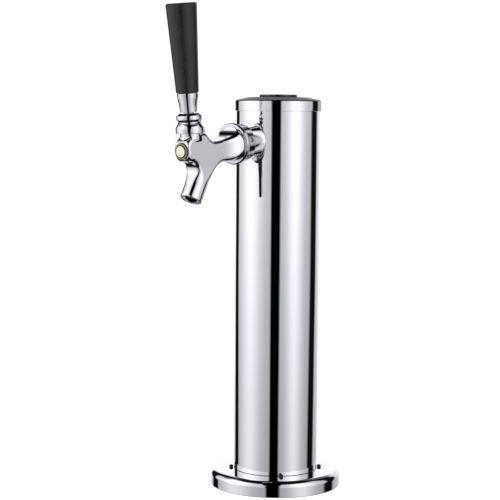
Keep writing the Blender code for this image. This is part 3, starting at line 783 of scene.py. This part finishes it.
def side_view_grid():
    """Signed distances to the outline on a grid, softened a little so that they are smooth."""
    outline = [tuple(p) for p in closed_curve(BODY_OUTLINE)]
    u = np.arange(52.0, 142.0, OUTLINE_CELL)
    v = np.arange(-62.0, 24.0, OUTLINE_CELL)
    grid = np.stack(np.meshgrid(u, v, indexing="ij"), -1)
    far = flat_shape(*grid[::8, ::8].reshape(-1, 2).T, outline).reshape(grid[::8, ::8].shape[:2])
    values = np.repeat(np.repeat(far, 8, 0), 8, 1)[:len(u), :len(v)]
    near = np.abs(values) < 12.5
    values[near] = flat_shape(*grid[near].T, outline)
    for axis in (0, 1):
        for _ in range(6):
            values = (np.roll(values, 1, axis) + 2 * values + np.roll(values, -1, axis)) / 4
    return u, v, values


def side_distance(u, v):
    grid_u, grid_v, values = SIDE_VIEW
    a = np.clip((u - grid_u[0]) / OUTLINE_CELL, 0, len(grid_u) - 2.001)
    b = np.clip((v - grid_v[0]) / OUTLINE_CELL, 0, len(grid_v) - 2.001)
    i, j = a.astype(int), b.astype(int)
    a, b = a - i, b - j
    return ((values[i, j] * (1 - a) + values[i + 1, j] * a) * (1 - b)
            + (values[i, j + 1] * (1 - a) + values[i + 1, j + 1] * a) * b)


SIDE_VIEW = side_view_grid()

# Bores as (across, up, forward, radius) points.
PASSAGE_ROUTE = smooth_route([(0, -1.0, 66.0, 6.0), (0, -2.7, 76.0, 6.0), (0, -4.2, 88.0, 6.0),
                              (0, -7.6, 97.0, 6.0), (0, -12.2, 102.8, 6.0), (0, -19.0, 106.8, 6.0),
                              (0, -29.0, 112.3, 6.0), (0, -42.4, 120.9, 6.0), (0, -50.0, 125.8, 6.0)], 5)
OUTLET_ROUTE = smooth_route([(0, -36.0, 116.8, 7.8), (0, -44.0, 121.9, 7.8), (0, -52.0, 127.1, 7.8)], 2)
BODY_REAR = 58.3
NOSE_FRONT = 128.6
BONNET_NECK_R = 9.0
CHAMBER_R, CHAMBER_FOOT = 8.4, 8.3      # room for the lever's ball
SLOT_HALF_W, SLOT_HALF_U = 4.8, 7.5     # and for the finger below it
GUIDE_BORE_R = 5.6
WASHER_CHAMBER_R = 9.4
SEAT_MOUTH_R = 5.2
ROD_BORE_R = 2.9
BUSHING_SEAT_R = 7.4


def ease(value, low, high):
    t = np.clip((value - low) / (high - low), 0, 1)
    return t * t * (3 - 2 * t)


def body_field(p):
    """The cast body: its side view given a thickness and round edges, the necks, then its bores."""
    w, v, u = p.T
    r = np.hypot(w, v)
    flare = np.clip((86 - u) / 21.5, 0, 1) ** 2
    spout = ease(-v, 15.0, 30.0)
    half = WEB_HALF + 6.4 * flare + (NECK_R - WEB_HALF) * spout
    edge = 3.6 + 2.0 * flare + (NECK_R - 3.7) * spout
    across = np.abs(w) - half + edge
    along = side_distance(u, v) + edge
    outside = np.hypot(np.maximum(along, 0), np.maximum(across, 0))
    field = outside + np.minimum(np.maximum(along, across), 0) - edge
    field = np.where(u < 80, smooth_max(field, r - 15.2, 0.5), field)
    field = np.where(u < 72, smooth_max(field, 64.5 - u, 0.3), field)
    field = np.minimum(field, round_bar(w, v, u, 14.3, BODY_REAR, 60.6, 0.5))
    field = np.minimum(field, round_bar(w, v, u, 13.3, 59.0, 65.5, 0.3))
    field = smooth_min(field, round_bar(w, u - PIVOT_U, v, BONNET_NECK_R, 8.2, 17.5, 0.8), 1.2)
    field = smooth_max(field, u - NOSE_FRONT, 1.0)
    end_v, end_u = SPOUT_END
    leaning = math.atan2(end_u - 112.3, 29.0 + end_v)
    past_end = (v - end_v) * math.cos(leaning) + (u - end_u) * math.sin(leaning)
    field = smooth_max(field, past_end, 0.9)
    field = smooth_max(field, BODY_REAR - u, 0.3)
    guide = round_bar(w, v, u, GUIDE_BORE_R, 98.5, 140.0, 0.2)
    bores = np.minimum(bent_bar(p, PASSAGE_ROUTE), guide)
    bores = np.minimum(bores, np.maximum(r - WASHER_CHAMBER_R, u - 63.5))
    bores = np.minimum(bores, np.maximum(r - SEAT_MOUTH_R, u - 74.0))
    bores = np.minimum(bores, np.maximum(r - ROD_BORE_R, u - 100.0))
    bores = np.minimum(bores, np.maximum(r - BUSHING_SEAT_R, 127.3 - u))
    bores = np.minimum(bores, np.maximum(np.hypot(w, u - PIVOT_U) - CHAMBER_R, CHAMBER_FOOT - v))
    slot = np.maximum(np.abs(w) - SLOT_HALF_W, np.abs(u - PIVOT_U) - SLOT_HALF_U)
    bores = np.minimum(bores, np.maximum(slot, np.maximum(-v, v - 9.0)))
    bores = np.minimum(bores, np.maximum(bent_bar(p, OUTLET_ROUTE), -past_end - 5.0))
    return smooth_max(field, -bores, 0.5)


def field_piece(name, field, low, high, size, matrix, material, body, replaced):
    mesh = field_mesh(name, field, low, high, size * (1))
    link_piece(name, mesh, matrix, material, body, [replaced])


def coupling_nut():
    field_piece("coupling_nut_fine", nut_field, (-19.5, -19.5, NUT_REAR - 1), (19.5, 19.5, NUT_FRONT + 1),
                0.25, FAUCET, DULL_CHROME, "tower", "coupling_nut")


def faucet_body():
    field_piece("faucet_body_fine", body_field, (-15.5, -50, 57.2), (15.5, 18.8, 129.8),
                0.35, FAUCET, CHROME, "tower", "faucet_body")


def nose():
    turned("nose_bushing_fine", [(7.1, 129.6, 0.5), (7.1, 127.6), (5.6, 127.6), (5.6, 129.6, 0.3)],
           FAUCET, BRONZE, "tower", "brass", 96)


# ---- lever stack -------------------------------------------------------------------------------

def lever_bonnet():
    mouth, edge = math.degrees(math.asin(10.0 / 13.4)), math.degrees(math.asin(12.5 / 13.4))
    dome = arc(13.4, mouth, edge, 9)
    profile = [*dome[:-1], (*dome[-1], 0.6), (12.5, 0.4, 0.6), (10.1, 0.4), (10.1, 6.0, 0.5), (8.1, 6.0, 0.3)]
    turned("lever_bonnet_fine", profile, BOSS, CHROME, "tower", "chrome", 160)


FERRULE_FOOT = 18.4


def lever_collar():
    rim, hub = math.degrees(math.asin(10.7 / 14.0)), math.degrees(math.asin(4.5 / 14.0))
    top = FERRULE_FOOT - 0.7
    profile = [(4.5, top), (8.2, top, 0.3), (10.9, top - 2.0, 0.7), (11.2, top - 3.4, 1.2),
               (11.2, 12.4, 0.8), (9.6, 9.6, 0.3),
               *arc(14.0, rim, hub, 9)]
    turned("lever_collar_fine", profile, LEVER, CHROME, "lever", "chrome", 160)


def handle():
    foot, top = 34.8, 110.1
    ferrule = [(4.5, foot - 0.3), (9.2, foot - 0.3, 0.3), (9.0, foot - 4.5, 12), (7.9, 24.0, 20),
               (7.5, FERRULE_FOOT, 0.15), (4.5, FERRULE_FOOT)]
    turned("handle_ferrule_fine", ferrule, LEVER, CHROME, "lever", "chrome", 160, fine=8)
    grip = [(0, top), (13.4, top, 1.6), (9.7, foot, 0.4), (6.8, foot), (6.8, 54.0), (0, 56.0)]
    turned("handle_grip_fine", grip, LEVER, BLACK, "lever", "black_plastic", 160)


# ---- pieces that keep their CAD shape ----------------------------------------------------------

KEPT = {"shank": STEEL, "inner_saddle_washer": STEEL, "shank_lock_nut": BRASS, "tailpiece": STEEL,
        "tailpiece_nut": BRASS, "tailpiece_washer": NYLON, "coupling_washer": NYLON, "ball_washer": NYLON,
        "friction_ring": NYLON, "valve_shaft": PALE_BRASS, "seat_washer": RUBBER, "shaft_nut": BRASS,
        "lever": STEEL, "handle_insert": BRASS,
        **{f"mounting_screw_{i}": SCREW_STEEL for i in (1, 2, 3, 4)}}


def finish_kept_nodes():
    for name, material in KEPT.items():
        data = frame["nodes"][name].data
        data.materials.clear()
        data.materials.append(material)


make_camera()
studio()
make_floor()
column_tube()
base_flange()
base_gasket()
top_cap()
shank_collar()
coupling_nut()
faucet_body()
nose()
lever_bonnet()
lever_collar()
handle()
finish_kept_nodes()
